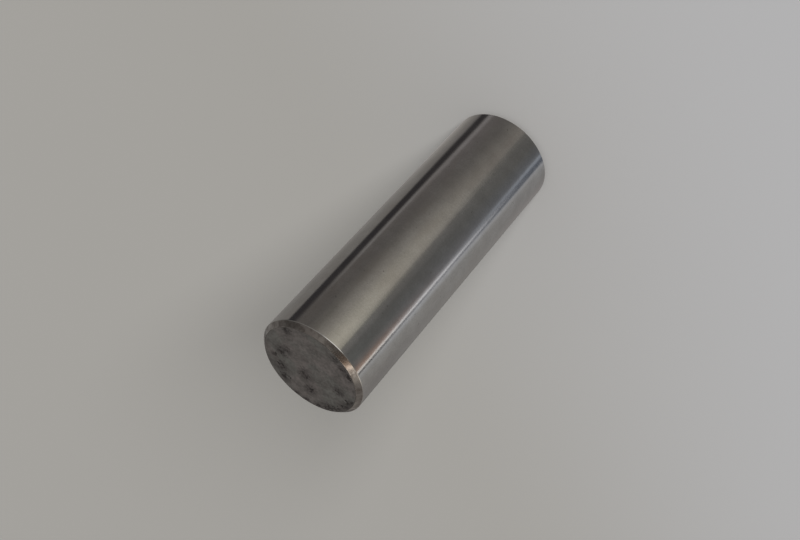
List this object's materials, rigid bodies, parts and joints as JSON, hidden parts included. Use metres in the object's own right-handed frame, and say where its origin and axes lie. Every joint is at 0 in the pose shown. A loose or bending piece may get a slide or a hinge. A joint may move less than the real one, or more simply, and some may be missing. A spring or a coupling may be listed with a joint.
{
  "type": "piston pin",
  "caption": "Solid cylindrical steel piston pin, ground along its outside, with square-cut, chamfered ends.",
  "frame": {"origin": "centre of the lower end face, on which the pin stands", "axes": "+Z along the pin's axis, from the lower end face to the upper one; X and Y are any two directions across it"},
  "size_m": [0.012, 0.012, 0.038],
  "materials": {
    "ground_steel": "ground and polished outside, matte dark end faces with small pits"
  },
  "bodies": {
    "root": {"piston_pin": "ground_steel"}
  },
  "joints": []
}
